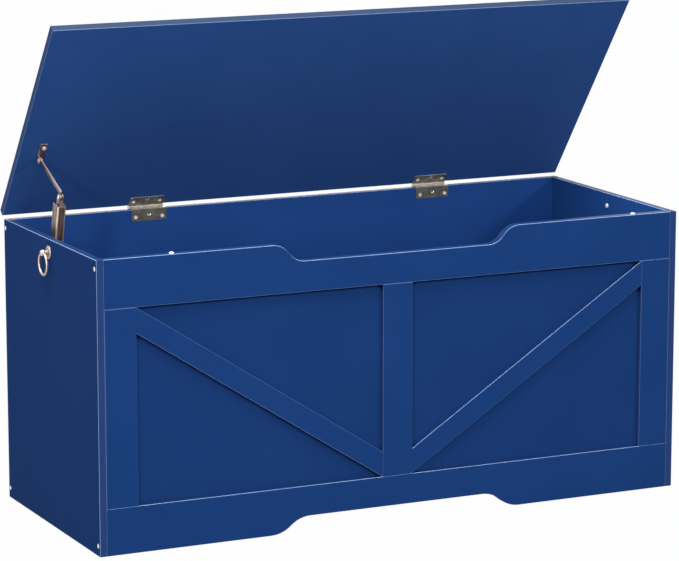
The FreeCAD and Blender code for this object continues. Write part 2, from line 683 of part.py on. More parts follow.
def biarc(start, start_way, end, end_way):
    """Two tangent arcs that join two points with the directions given there."""
    run = end - start
    ways = start_way + end_way
    lead = run.dot(ways)
    spread = 2 * (1 - start_way.dot(end_way))
    handle = ((lead ** 2 + spread * run.dot(run)) ** 0.5 - lead) / spread
    first_corner = start + start_way * handle
    last_corner = end - end_way * handle
    joint = (first_corner + last_corner) / 2
    arcs = []
    for low, corner, high in ((start, first_corner, joint), (joint, last_corner, end)):
        half_turn = math.acos(min(1, (high - low).Length / 2 / handle))
        middle = (low + high) / 2
        crown = middle + (corner - middle) * (math.tan(half_turn / 2) / math.tan(half_turn))
        arcs.append(Part.Arc(low, crown, high).toShape())
    return arcs


def coil_shape(radius, pitch, wire, height):
    """A round wire wound about Z in whole quarter turns, from half a wire above the foot."""
    quarters = int((height - wire) / pitch * 4)
    climb = (height - wire) / quarters
    points, ways = [], []
    for quarter in range(quarters + 1):
        turn = FreeCAD.Rotation(FreeCAD.Vector(0, 0, 1), 90 * quarter)
        points.append(turn.multVec(FreeCAD.Vector(radius, 0, 0)) + FreeCAD.Vector(0, 0, wire / 2 + climb * quarter))
        ways.append(turn.multVec(FreeCAD.Vector(0, radius * math.pi / 2, climb)).normalize())
    edges = []
    for quarter in range(quarters):
        edges += biarc(points[quarter], ways[quarter], points[quarter + 1], ways[quarter + 1])
    path = Part.Wire(edges)
    section = Part.Wire(Part.makeCircle(wire / 2, points[0], ways[0]))
    solid = path.makePipeShell([section], True, False)
    trace = path.discretize(quarters * 8 + 1)
    apart = min((trace[low] - trace[high]).Length for low in range(len(trace))
                for high in range(low + 16, len(trace)))
    print(f"spring: {quarters / 4} curls, least gap to itself {apart - wire:.3f} mm,"
          f" volume over section times length {solid.Volume / (math.pi * wire ** 2 / 4 * path.Length):.4f}")
    return solid


def lean(item, x, y, z, angle):
    """Stands a sub-part at a place already counted from the origin, tipped forward by an angle."""
    item.Placement = FreeCAD.Placement(FreeCAD.Vector(), FreeCAD.Rotation(FreeCAD.Vector(1, 0, 0), 10))
    bind(item, **{"Placement.Base.x": x, "Placement.Base.y": y, "Placement.Base.z": z,
                  "Placement.Rotation.Angle": angle})


def stay_arm():
    """A flat arm with a short cranked tail at the elbow and an eye at each end."""
    body = new_body("stay_arm")
    span = f"sqrt(({lid_pivot_y} - {elbow_y}) ^ 2 + ({lid_pivot_z} - {elbow_z}) ^ 2)"
    half = "arm_thickness / 2"
    tail = "sqrt(arm_elbow_side ^ 2 + arm_elbow_rise ^ 2)"
    long_run = f"sqrt(arm_elbow_side ^ 2 + ({span} - arm_elbow_rise) ^ 2)"
    rod(body, (f"0 - {half}", "0", "0"), "arm_eye", "arm_thickness", along_x)
    rod(body, (f"0 - {half}", "0", span), "arm_eye", "arm_thickness", along_x)
    rod(body, (f"0 - {half}", "0 - arm_elbow_side", "arm_elbow_rise"), "arm_width", "arm_thickness", along_x)
    bars = [("0", "0", "arm_elbow_side", "arm_elbow_rise", tail, 1),
            ("0 - arm_elbow_side", "arm_elbow_rise", "arm_elbow_side", f"({span} - arm_elbow_rise)", long_run, -1)]
    for y, z, side, rise, length, way in bars:
        bar = body.newObject("PartDesign::AdditiveBox", "Bar")
        bar.Placement = FreeCAD.Placement(FreeCAD.Vector(), FreeCAD.Rotation(FreeCAD.Vector(way, 0, 0), 10))
        bind(bar, Length="arm_thickness", Width="arm_width", Height=length, **{
            "Placement.Base.x": f"0 - {half}",
            "Placement.Base.y": f"{y} - arm_width / 2 * ({rise}) / {length}",
            "Placement.Base.z": f"{z} - {way} * arm_width / 2 * {side} / {length}",
            "Placement.Rotation.Angle": f"atan({side} / {rise})",
        })
    for z in ("0", span):
        rod(body, (f"0 - {half} - overrun", "0", z), "elbow_pin + 2 * fit_play", "arm_thickness + 2 * overrun",
            along_x, cut=True)
    item = body
    item.Placement = FreeCAD.Placement(FreeCAD.Vector(), FreeCAD.Rotation(FreeCAD.Vector(-1, 0, 0), 10))
    bind(item, **{
        "Placement.Base.x": stay_x, "Placement.Base.y": elbow_y, "Placement.Base.z": elbow_z,
        "Placement.Rotation.Angle": f"atan(({lid_pivot_y} - {elbow_y}) / ({lid_pivot_z} - {elbow_z}))",
    })


def stay_lid_bracket():
    """An angle plate under the lid whose ear carries the upper pivot."""
    body = new_body("stay_lid_bracket")
    outer = "0 - arm_thickness / 2 - side_play - lid_bracket_sheet"
    box(body, (outer, "0 - lid_bracket_reach", "lid_pivot_drop + lid_gap / 2 - lid_bracket_sheet"),
        ("lid_bracket_width", "lid_bracket_reach + lid_bracket_tail", "lid_bracket_sheet"))
    round_edges(body, lambda edge: runs_along(edge, "z"), "lid_bracket_sheet")
    box(body, (outer, "0 - lid_bracket_ear / 2", "0"),
        ("lid_bracket_sheet", "lid_bracket_ear", "lid_pivot_drop + lid_gap / 2"))
    rod(body, (outer, "0", "0"), "lid_bracket_ear", "lid_bracket_sheet", along_x)
    rod(body, (f"{outer} - overrun", "0", "0"), "elbow_pin + fit_play", "lid_bracket_sheet + 2 * overrun",
        along_x, cut=True)
    rod(body, ("lid_bracket_screw_side", "0 - lid_bracket_screw_reach", "0"), "leaf_hole",
        "lid_pivot_drop + lid_gap / 2 + overrun", cut=True)
    place_on_lid(body, stay_x, "0 - lid_pivot_reach", "0 - lid_pivot_drop")

    pin = new_body("stay_lid_pin")
    length = "lid_bracket_sheet + arm_thickness + 2 * side_play + 2 * elbow_head_thickness"
    start = f"{outer} - elbow_head_thickness"
    rod(pin, (start, "0", "0"), "elbow_head", "elbow_head_thickness", along_x)
    rod(pin, (start, "0", "0"), "elbow_pin", length, along_x)
    rod(pin, (f"{start} + {length} - elbow_head_thickness", "0", "0"), "elbow_head", "elbow_head_thickness", along_x)
    place_on_lid(pin, stay_x, "0 - lid_pivot_reach", "0 - lid_pivot_drop")

    screw = new_body("stay_lid_screw")
    rod(screw, ("0", "0", "0 - lid_bracket_screw_head_height"), "lid_bracket_screw_head",
        "lid_bracket_screw_head_height")
    round_edges(screw, lambda edge: lies_at(edge, "z", "0 - lid_bracket_screw_head_height"),
                "lid_bracket_screw_head_height / 2")
    rod(screw, ("0", "0", "0"), "wood_screw", "wood_screw_length")
    for width, depth in (("screw_slot", "wood_screw"), ("wood_screw", "screw_slot")):
        box(screw, (f"0 - {width} / 2", f"0 - {depth} / 2", "0 - lid_bracket_screw_head_height"),
            (width, depth, "screw_slot_depth"), cut=True)
    place_on_lid(screw, f"{stay_x} + lid_bracket_screw_side", "0 - lid_pivot_reach - lid_bracket_screw_reach",
                 "lid_gap / 2 - lid_bracket_sheet")


# Groups of identical loose pieces. Each group is one shape made from copies of one solid,
# which stands along +Z with its head or outer end at the origin.
def countersunk_screw():
    head = worth("wood_screw_head / 2")
    shank = worth("wood_screw / 2")
    depth = worth("hinge_leaf")
    solid = Part.makeCone(head, shank, depth)
    solid = solid.fuse(Part.makeCylinder(shank, worth("wood_screw_length")))
    slot, reach, sink = worth("screw_slot"), worth("wood_screw"), worth("screw_slot_depth")
    for width, length in ((slot, reach), (reach, slot)):
        corner = FreeCAD.Vector(-width / 2, -length / 2, 0)
        solid = solid.cut(Part.makeBox(width, length, sink, corner))
    return solid


def carcass_screw():
    head = worth("carcass_screw_head / 2")
    shank = worth("carcass_screw / 2")
    depth = worth("carcass_screw_head_depth")
    solid = Part.makeCone(head, shank, depth)
    solid = solid.fuse(Part.makeCylinder(shank, worth("carcass_screw_length")))
    socket = Part.makePolygon([FreeCAD.Vector(worth("carcass_screw_socket / 2"), 0, 0)
                               if corner == 0 else
                               FreeCAD.Rotation(FreeCAD.Vector(0, 0, 1), corner * 60).multVec(
                                   FreeCAD.Vector(worth("carcass_screw_socket / 2"), 0, 0))
                               for corner in range(7)])
    depth = FreeCAD.Vector(0, 0, worth("carcass_screw_socket_depth"))
    return solid.cut(Part.Face(Part.Wire(socket)).extrude(depth))


def group(label, solid, stands):
    """A compound of copies, each at (x, y, z) formulas with a turn."""
    copies = []
    for where, turn in stands:
        copy = solid.copy()
        copy.Placement = FreeCAD.Placement(FreeCAD.Vector(*[worth(text) for text in where]), turn)
        copies.append(copy)
    item = document.addObject("Part::Feature", label)
    item.Label = label
    item.Shape = Part.makeCompound(copies)
    finished.append(item)


def from_both_sides(depth_of_head, columns, rows):
    """Stands of pieces that enter both side panels square to them."""
    stands = []
    for side, turn in ((-1, along_x), (1, against_x)):
        for y in columns:
            for z in rows:
                stands.append(((f"{side} * (chest_width / 2 - {depth_of_head})", f"{front} + {y}", z), turn))
    return stands


def carcass_fasteners():
    group("carcass_screws", carcass_screw(), from_both_sides("0", screw_columns, screw_rows))

    peg = Part.makeCylinder(worth("dowel / 2"), worth("dowel_length"))
    sunk = "(board - dowel_in_side)"
    stands = from_both_sides(sunk, ("rail / 2",), rail_dowel_rows)
    stands += from_both_sides(sunk, panel_dowel_columns, (panel_middle_z,))
    group("wood_dowels", peg, stands)

    neck_end = worth("board + cam_inset - (board - cam_bolt_in_side) + cam_bolt_head_length / 2")
    in_side = worth("cam_bolt_in_side")
    bolt = Part.makeCylinder(worth("cam_bolt / 2"), in_side)
    bolt = bolt.fuse(Part.makeCylinder(worth("cam_bolt_neck / 2"), neck_end))
    head_length = worth("cam_bolt_head_length")
    head_start = FreeCAD.Vector(0, 0, neck_end - head_length)
    bolt = bolt.fuse(Part.makeCylinder(worth("cam_bolt_head / 2"), head_length, head_start))
    group("cam_bolts", bolt, from_both_sides("(board - cam_bolt_in_side)", cam_columns, (panel_middle_z,)))

    disc = Part.makeCylinder(worth("cam / 2"), worth("cam_depth"))
    slot, radius = worth("cam_slot"), worth("cam / 2 + overrun")
    rise = worth("board / 2 - cam_slot / 2")
    mouth = FreeCAD.Vector(-radius, -slot / 2, rise)
    disc = disc.cut(Part.makeBox(radius + slot / 2, slot, worth("cam_depth"), mouth))
    cross, reach = worth("cam_cross"), worth("cam / 2")
    for width, length in ((cross, reach), (reach, cross)):
        corner = FreeCAD.Vector(-width / 2, -length / 2, 0)
        disc = disc.cut(Part.makeBox(width, length, cross / 2, corner))
    stands = []
    for side, turn in ((-1, upright), (1, FreeCAD.Rotation(FreeCAD.Vector(0, 0, 1), 180))):
        for y in cam_columns:
            stands.append(((f"{side} * ({inner_width} / 2 - cam_inset)", f"{front} + {y}", "floor_clearance"), turn))
    group("cam_locks", disc, stands)


def small_screws():
    solid = countersunk_screw()
    stands = []
    for hinge in sides.values():
        for way in (-1, 1):
            stands.append(((f"{hinge} * hinge_place + {way} * leaf_hole_place",
                            f"{front} + chest_depth - board - hinge_leaf", "chest_height - flange_hole_drop"),
                           along_y))
    group("hinge_screws_carcass", solid, stands)

    lid_turn = FreeCAD.Rotation(FreeCAD.Vector(-1, 0, 0), worth("lid_open"))
    stands = []
    reach, under = "(0 - lid_hole_reach)", "(lid_gap / 2 - hinge_leaf)"
    for hinge in sides.values():
        for way in (-1, 1):
            stands.append(((f"{hinge} * hinge_place + {way} * leaf_hole_place",
                            f"{pin_y} + cos(lid_open) * {reach} + sin(lid_open) * {under}",
                            f"{pin_z} - sin(lid_open) * {reach} + cos(lid_open) * {under}"), lid_turn))
    group("hinge_screws_lid", solid, stands)

    stands = []
    for way in (-1, 1):
        stands.append((("board + base_plate - chest_width / 2", f"{stay_y} + {way} * base_screw_side",
                        f"{stay_z} - base_screw_drop"), against_x))
    group("stay_base_screws", solid, stands)


def bumpers():
    """Soft dots on the top rail that the closed lid comes down on."""
    radius, rise, edge = worth("bumper / 2"), worth("bumper_height"), worth("bumper_edge")
    crown = (radius ** 2 + (rise - edge) ** 2) / (2 * (rise - edge))
    ball = Part.makeSphere(crown, FreeCAD.Vector(0, 0, rise - crown))
    dot = Part.makeCylinder(radius, rise).common(ball)
    stands = [(("0 - left_bumper_place", f"{front} + rail / 2", "chest_height"), upright),
              (("right_bumper_place", f"{front} + rail / 2", "chest_height"), upright)]
    group("lid_bumpers", dot, stands)


side_panel("side_panel_left", -1)
side_panel("side_panel_right", 1)
back_panel()
bottom_panel()
notched_rail("top_rail", "top_rail_height", "hand_notch_width", "hand_notch_depth", "hand_notch_run", True,
             "top_rail_height - rail_dowel_drop", "top_rail_height - top_screw_drop",
             "chest_height - top_rail_height")
notched_rail("bottom_rail", "bottom_rail_height", "kick_notch_width", "kick_notch_depth", "kick_notch_run", False,
             "bottom_rail_height - rail_dowel_drop", "bottom_screw_rise", "0")
field_panel()
stile("stile_left", f"0 - {inner_width} / 2")
stile("stile_middle", "0 - strip_width / 2")
stile("stile_right", f"{inner_width} / 2 - strip_width")
for side_name, side_sign in sides.items():
    brace("brace_" + side_name, side_sign)
lid_panel()
for side_name, side_sign in sides.items():
    carcass_leaf(f"hinge_{side_name}_carcass_leaf", side_sign)
    lid_leaf(f"hinge_{side_name}_lid_leaf", side_sign)
    hinge_pin(f"hinge_{side_name}_pin", side_sign)
for side_name, side_sign in sides.items():
    ring_pull(side_name, side_sign)
stay_base()
stay_channel()
stay_arm()
stay_lid_bracket()
carcass_fasteners()
small_screws()
bumpers()
document.recompute()

for item in document.Objects:
    if "Invalid" in item.State or "Error" in item.State:
        raise RuntimeError(f"{item.Label} failed: {item.State}")
for item in finished:
    if item.Shape.isNull() or not item.Shape.isValid() or not item.Shape.Solids:
        raise RuntimeError(f"{item.Label} has no valid solid")

os.makedirs("parts", exist_ok=True)
for item in finished:
    item.Shape.exportStep(f"parts/{item.Label}.step")
    extent = item.Shape.BoundBox
    print(f"{item.Label}: {len(item.Shape.Solids)} solids, {item.Shape.Volume:.1f} mm3,"
          f" x {extent.XMin:.2f} {extent.XMax:.2f} y {extent.YMin:.2f} {extent.YMax:.2f}"
          f" z {extent.ZMin:.2f} {extent.ZMax:.2f}")
for name, text in (("hinge pin", (pin_y, pin_z)), ("elbow", (elbow_y, elbow_z)), ("stay pivot", (stay_y, stay_z)),
                   ("lid pivot", (lid_pivot_y, lid_pivot_z)), ("front", (front, pull_z))):
    print(name, [round(worth(part), 4) for part in text])
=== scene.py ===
import math

import bpy
from mathutils import Matrix, Vector


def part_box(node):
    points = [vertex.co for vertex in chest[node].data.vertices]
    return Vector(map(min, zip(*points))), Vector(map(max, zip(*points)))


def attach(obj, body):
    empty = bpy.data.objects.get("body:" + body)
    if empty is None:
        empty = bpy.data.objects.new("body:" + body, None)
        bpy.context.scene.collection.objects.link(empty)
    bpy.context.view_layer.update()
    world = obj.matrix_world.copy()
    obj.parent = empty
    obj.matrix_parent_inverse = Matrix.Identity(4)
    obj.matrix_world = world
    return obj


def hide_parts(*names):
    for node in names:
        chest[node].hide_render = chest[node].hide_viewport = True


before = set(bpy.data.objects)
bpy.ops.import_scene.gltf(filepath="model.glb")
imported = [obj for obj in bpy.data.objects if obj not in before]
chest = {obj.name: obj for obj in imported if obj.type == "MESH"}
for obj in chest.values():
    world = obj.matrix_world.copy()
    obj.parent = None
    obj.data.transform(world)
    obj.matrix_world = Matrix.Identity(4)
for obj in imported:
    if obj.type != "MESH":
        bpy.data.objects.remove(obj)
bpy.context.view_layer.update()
print("chest loaded with", len(chest), "nodes")


# where the picture was taken from, with the turns in degrees and the lens and film in millimetres
cameraView = {
    "place": (-2.2324, -4.6660, 1.3512),
    "turn": (79.016, 0.0, -25.544),
    "lens": 173.98,
    "filmWidth": 36.0,
    "sightEnd": 60.0,
}


def setCamera(view):
    turn = [math.radians(angle) for angle in view["turn"]]
    bpy.ops.object.camera_add(location=view["place"], rotation=turn)
    camera = bpy.context.object
    camera.name = "pictureCamera"
    camera.data.sensor_width = view["filmWidth"]
    camera.data.sensor_fit = "HORIZONTAL"
    camera.data.lens = view["lens"]
    camera.data.clip_end = view["sightEnd"]
    bpy.context.scene.camera = camera


setCamera(cameraView)
print("camera set")


# small helpers that every finish uses
def startFinish(name):
    material = bpy.data.materials.new(name)
    material.use_nodes = True
    tree = material.node_tree
    return material, tree, tree.nodes["Principled BSDF"]


# a socket takes a link from another socket, or else a plain value
def feed(tree, value, socket):
    if isinstance(value, bpy.types.NodeSocket):
        tree.links.new(value, socket)
    else:
        socket.default_value = value


def addMath(tree, kind, operation, values):
    node = tree.nodes.new(kind)
    node.operation = operation
    for value, socket in zip(values, node.inputs):
        feed(tree, value, socket)
    return node.outputs


def addNumber(tree, operation, *values):
    return addMath(tree, "ShaderNodeMath", operation, values)["Value"]


def addVector(tree, operation, *values):
    outputs = addMath(tree, "ShaderNodeVectorMath", operation, values)
    return outputs["Value" if operation == "DOT_PRODUCT" else "Vector"]


def addPart(tree, vector, axis):
    parts = tree.nodes.new("ShaderNodeSeparateXYZ")
    tree.links.new(vector, parts.inputs[0])
    return parts.outputs[axis]


def addNormal(tree):
    return tree.nodes.new("ShaderNodeNewGeometry").outputs["True Normal"]


def addPoints(tree, stretch=(1, 1, 1)):
    coords = tree.nodes.new("ShaderNodeTexCoord")
    mapping = tree.nodes.new("ShaderNodeMapping")
    mapping.inputs["Scale"].default_value = stretch
    tree.links.new(coords.outputs["Object"], mapping.inputs["Vector"])
    return mapping.outputs["Vector"]


# a noise is given as its scale, detail and roughness
def addNoise(tree, points, look):
    noise = tree.nodes.new("ShaderNodeTexNoise")
    for name, value in zip(("Scale", "Detail", "Roughness"), look):
        noise.inputs[name].default_value = value
    tree.links.new(points, noise.inputs["Vector"])
    return noise.outputs["Fac"]


# a bump is given as its depth and strength
def addBump(tree, height, look, under=None):
    bump = tree.nodes.new("ShaderNodeBump")
    for name, value in zip(("Distance", "Strength"), look):
        bump.inputs[name].default_value = value
    tree.links.new(height, bump.inputs["Height"])
    if under is not None:
        tree.links.new(under, bump.inputs["Normal"])
    return bump.outputs["Normal"]


# each stop of a ramp is a place with a colour or a plain number
def addRamp(tree, value, stops):
    ramp = tree.nodes.new("ShaderNodeValToRGB")
    marks = ramp.color_ramp.elements
    while len(marks) < len(stops):
        marks.new(0.5)  # anywhere, as its place is set next
    for mark, (where, shade) in zip(marks, stops):
        mark.position = where
        mark.color = (*shade, 1) if isinstance(shade, tuple) else (shade, shade, shade, 1)
    tree.links.new(value, ramp.inputs["Fac"])
    return ramp.outputs["Color"]


# the same, where the stops name shades of the finish
def addShades(tree, value, look, stops):
    return addRamp(tree, value, [(where, look[shade]) for where, shade in stops])


def mixColour(tree, share, under, over):
    mix = tree.nodes.new("ShaderNodeMix")
    mix.data_type = "RGBA"
    tree.links.new(share, mix.inputs[0])
    for colour, socket in ((under, mix.inputs[6]), (over, mix.inputs[7])):
        feed(tree, (*colour, 1) if isinstance(colour, tuple) else colour, socket)
    return mix.outputs[2]


# one roughness all over, or a smooth and a coarse one that the grain blends
grainEnds = (0.3, 0.7)


def setRough(tree, shader, grain, rough):
    if isinstance(rough, tuple):
        rough = addRamp(tree, grain, list(zip(grainEnds, rough)))
    feed(tree, rough, shader.inputs["Roughness"])


# blue satin foil on the boards, slightly violet tape on their edges, and a pale corner between: partly the
# scraped tape, partly a painted highlight
# paintedLift is painted light and shade: it brightens or dims the foil on the side of the board that
# shows, for how much light that side gets
boardFinish = {
    "deep": (0.0086, 0.0372, 0.146),
    "mid": (0.0093, 0.0393, 0.153),
    "light": (0.0103, 0.0418, 0.161),
    "paintedLift": (1.0, 1.0, 1.0),
    "tape": (0.0175, 0.042, 0.143),
    # painted shade: tape that looks upward is darker, for the light from above
    "paintedTopEdge": (0.0105, 0.035, 0.118),
    # corner colours: the scraped tape with a painted highlight, much paler on corners that look up
    "corner": (0.066, 0.120, 0.275),
    "topCorner": (0.36, 0.50, 0.80),
    "underCorner": (0.066, 0.120, 0.275),
    "creased": True,
    # painted shade in the creases under raised pieces
    "paintedCreaseShade": (0.0008, 0.0045, 0.026),
    "creaseReach": 0.011,
    "creaseRise": 1.1,
    "creaseRays": 12,
    "clouds": (7.0, 4.0, 0.6),
    "pores": (620.0, 2.0, 0.6),
    "poreBump": (0.00006, 0.5),
    "waves": (11.0, 1.0, 0.5),
    "waveBump": (0.00008, 0.5),
    "smears": (34.0, 5.0, 0.65),
    "rough": (0.38, 0.48),
    "shine": 0.006,
    "sideShine": 0.03,
    "tapeShine": 0.12,
}

# where each part of the finish begins and ends
boardRamps = {
    "foil": [(0.3, "deep"), (0.5, "mid"), (0.72, "light")],
    # by how squarely a face looks along the board's facing
    "corner": [(0.18, 0.0), (0.34, 1.0), (0.86, 1.0), (0.95, 0.0)],
    "edge": [(0.45, 1.0), (0.55, 0.0)],
    "face": [(0.90, 0.0), (0.96, 1.0)],
    # by how far up it looks
    "upward": [(0.70, 0.0), (0.78, 1.0)],
    "tapeShine": [(0.80, "sideShine"), (0.95, "tapeShine")],
    "wearAndHighlight": [(0.25, "underCorner"), (0.35, "corner"), (0.75, "corner"), (0.83, "topCorner")],
    # by how open to the light it is
    "paintedCreaseShade": [(0.39, 1.0), (0.53, 0.0)],
}
shownBelow = -0.5  # a face that looks this much against the board's facing is the one that shows


def addFoil(tree, clouds, look, paintedLift=(1.0, 1.0, 1.0)):
    paintedLifted = {}
    for shade in ("deep", "mid", "light"):
        paintedLifted[shade] = tuple(colour * more for colour, more in zip(look[shade], paintedLift))
    return addShades(tree, clouds, paintedLifted, boardRamps["foil"])


# facing is read on the board's own axes, so that it turns with the lid
def addFacing(tree, normal, facing):
    own = tree.nodes.new("ShaderNodeVectorTransform")
    own.vector_type = "NORMAL"
    own.convert_from = "WORLD"
    own.convert_to = "OBJECT"
    tree.links.new(normal, own.inputs[0])
    return addVector(tree, "DOT_PRODUCT", own.outputs[0], facing)


# painted shade: a dark line under each piece that lies on a board, where the light from above is shut off
def addCrease(tree, normal, under, look):
    raised = addVector(tree, "ADD", normal, (0, 0, look["creaseRise"]))
    shut = tree.nodes.new("ShaderNodeAmbientOcclusion")
    shut.inputs["Distance"].default_value = look["creaseReach"]
    shut.samples = look["creaseRays"]
    tree.links.new(addVector(tree, "NORMALIZE", raised), shut.inputs["Normal"])
    return mixColour(tree, addRamp(tree, shut.outputs["AO"], boardRamps["paintedCreaseShade"]), under, look["paintedCreaseShade"])


# facing points away from the side of the board that the picture shows
def makeBoardFinish(name, look, facing):
    material, tree, shader = startFinish(name)
    points = addPoints(tree)
    normal = addNormal(tree)
    turn = addFacing(tree, normal, facing)
    square = addNumber(tree, "ABSOLUTE", turn)
    shown = addNumber(tree, "LESS_THAN", turn, shownBelow)
    up = addPart(tree, normal, "Z")

    clouds = addNoise(tree, points, look["clouds"])
    # the side that shows takes the foil with painted light or painted shade on it
    foil = mixColour(tree, shown, addFoil(tree, clouds, look), addFoil(tree, clouds, look, look["paintedLift"]))
    # tape that looks upward takes its own colour for how the light from above falls: painted shade, and on
    # the lid a paler painted sheen
    tape = mixColour(tree, addRamp(tree, up, boardRamps["upward"]), look["tape"], look["paintedTopEdge"])
    cover = mixColour(tree, addRamp(tree, square, boardRamps["edge"]), foil, tape)
    if look["creased"]:
        cover = addCrease(tree, normal, cover, look)
    # corners by how far they look up: the scraped tape with a painted highlight, paler looking up and set
    # for the shade looking down
    height = addNumber(tree, "MULTIPLY_ADD", up, 0.5, 0.5)  # 0 looks straight down and 1 straight up
    wearAndHighlight = addShades(tree, height, look, boardRamps["wearAndHighlight"])
    colour = mixColour(tree, addRamp(tree, square, boardRamps["corner"]), cover, wearAndHighlight)
    tree.links.new(colour, shader.inputs["Base Color"])

    setRough(tree, shader, addNoise(tree, points, look["smears"]), look["rough"])
    wave = addBump(tree, addNoise(tree, points, look["waves"]), look["waveBump"])
    pores = addBump(tree, addNoise(tree, points, look["pores"]), look["poreBump"], wave)
    tree.links.new(pores, shader.inputs["Normal"])
    shine = shader.inputs["Specular IOR Level"]
    shine.default_value = look["shine"]  # holds where the link below isn't read
    tapeShine = addShades(tree, up, look, boardRamps["tapeShine"])
    onFace = addRamp(tree, square, boardRamps["face"])
    tree.links.new(mixColour(tree, onFace, tapeShine, (look["shine"],) * 3), shine)
    return material


# one grain for the roughness and the bump of a small piece
def addGrain(tree, shader, look):
    grain = addNoise(tree, addPoints(tree, look["stretch"]), look["grain"])
    setRough(tree, shader, grain, look["rough"])
    tree.links.new(addBump(tree, grain, look["bump"]), shader.inputs["Normal"])
    shader.inputs["Metallic"].default_value = look["metal"]
    return grain


# plated metal: a dull plating, light on upper faces and on faces that turn partly sideways, such as rounds
# and eased arrises: rubbed wear and painted highlight together
nickelFinish = {
    "dark": (0.135, 0.124, 0.106),
    "light": (0.255, 0.238, 0.206),
    "rubbedAndHighlight": (0.92, 0.87, 0.78),
    "clouds": (120.0, 3.0, 0.55),
    "cloudStretch": (1.0, 1.0, 1.0),
    "grain": (3800.0, 3.0, 0.6),
    "stretch": (0.06, 1.0, 1.0),
    "bump": (0.000008, 0.4),
    "rough": (0.24, 0.40),
    "metal": 0.80,
}
bronzeFinish = {
    "dark": (0.065, 0.032, 0.026),
    "light": (0.330, 0.220, 0.195),
    "rubbedAndHighlight": (0.84, 0.69, 0.58),
    "clouds": (190.0, 3.0, 0.55),
    "cloudStretch": (1.0, 1.0, 0.08),
    "grain": (900.0, 3.0, 0.6),
    "stretch": (1.0, 1.0, 1.0),
    "bump": (0.00003, 0.4),
    "rough": (0.22, 0.36),
    "metal": 0.65,
}
platedRamps = {
    "dull": [(0.32, "dark"), (0.68, "light")],
    "rounds": [(0.20, 0.0), (0.45, 1.0), (0.80, 1.0), (0.95, 0.0)],
    "tops": [(0.35, 0.0), (0.75, 1.0)],
}


def makePlatedFinish(name, look):
    material, tree, shader = startFinish(name)
    clouds = addNoise(tree, addPoints(tree, look["cloudStretch"]), look["clouds"])
    dull = addShades(tree, clouds, look, platedRamps["dull"])
    normal = addNormal(tree)
    # painted highlight with rubbed wear: faces turned partly to either side and faces looking up take the
    # rubbed colour
    sideways = addNumber(tree, "ABSOLUTE", addPart(tree, normal, "X"))
    rounds = addRamp(tree, sideways, platedRamps["rounds"])
    tops = addRamp(tree, addPart(tree, normal, "Z"), platedRamps["tops"])
    wearAndHighlight = addNumber(tree, "MAXIMUM", rounds, tops)
    tree.links.new(mixColour(tree, wearAndHighlight, dull, look["rubbedAndHighlight"]), shader.inputs["Base Color"])
    addGrain(tree, shader, look)
    return material


# bright zinc on the screws
zincFinish = {
    "dark": (0.72, 0.73, 0.75),
    "light": (0.93, 0.94, 0.95),
    "shades": [(0.3, "dark"), (0.65, "light")],
    "grain": (420.0, 4.0, 0.6),
    "stretch": (1, 1, 1),
    "bump": (0.00002, 0.4),
    "rough": (0.22, 0.36),
    "metal": 0.45,
}

# white soft bumpers
bumperFinish = {
    "dark": (0.70, 0.71, 0.72),
    "light": (0.84, 0.85, 0.86),
    "shades": [(0.3, "dark"), (0.65, "light")],
    "grain": (260.0, 4.0, 0.6),
    "stretch": (1, 1, 1),
    "bump": (0.00005, 0.5),
    "rough": 0.55,
    "metal": 0.0,
}

# bare beech for the dowels inside the joints
beechFinish = {
    "dark": (0.40, 0.245, 0.125),
    "light": (0.63, 0.44, 0.27),
    "shades": [(0.32, "dark"), (0.6, "light")],
    "grain": (420.0, 4.0, 0.6),
    "stretch": (0.08, 1, 1),
    "bump": (0.0001, 0.5),
    "rough": 0.62,
    "metal": 0.0,
}

# black plastic of the buffers in the stay
plasticFinish = {
    "dark": (0.012, 0.012, 0.013),
    "light": (0.028, 0.028, 0.030),
    "shades": [(0.35, "dark"), (0.65, "light")],
    "grain": (700.0, 3.0, 0.6),
    "stretch": (1, 1, 1),
    "bump": (0.00004, 0.5),
    "rough": (0.42, 0.6),
    "metal": 0.0,
}


def makeGrainFinish(name, look):
    material, tree, shader = startFinish(name)
    grain = addGrain(tree, shader, look)
    tree.links.new(addShades(tree, grain, look, look["shades"]), shader.inputs["Base Color"])
    return material


# which way a board looks: the front and back ones, the two ends, the bottom, and the lid as it stands open
lidOpen = math.radians(53)
facings = {
    "front": (0, 1, 0),
    "end": (1, 0, 0),
    "bottom": (0, 0, 1),
    "lid": (0, math.sin(lidOpen), math.cos(lidOpen)),
}

finishes = {
    "blue_board": makeBoardFinish("blue_board_front", boardFinish, facings["front"]),
    "hinge_nickel": makePlatedFinish("hinge_brushed_nickel", nickelFinish),
    "antique_bronze": makePlatedFinish("antique_bronze_plate", bronzeFinish),
    "zinc_screw": makeGrainFinish("screw_bright_zinc", zincFinish),
    "white_bumper": makeGrainFinish("bumper_white_rubber", bumperFinish),
    "beech_dowel": makeGrainFinish("dowel_beech", beechFinish),
    "black_plastic": makeGrainFinish("stay_black_plastic", plasticFinish),
}

# boards that face another way, that get painted light or painted shade for catching more or less light, or
# whose corners have their painted highlight and shade set another way
sideFinish = {
    **boardFinish,
    "shine": 0.003,
    # a paler painted highlight on the end board's corners
    "corner": (0.175, 0.275, 0.47),
    "underCorner": (0.175, 0.275, 0.47),
}
lidFinish = {
    **boardFinish,
    # painted light: the lid's shown face is made much lighter
    "paintedLift": (2.50, 1.83, 1.58),
    # a paler, greyer painted sheen on the lid's upward tape
    "paintedTopEdge": (0.034, 0.053, 0.100),
    # a paler painted highlight on the lid's corners
    "corner": (0.125, 0.205, 0.400),
    "underCorner": (0.125, 0.205, 0.400),
}
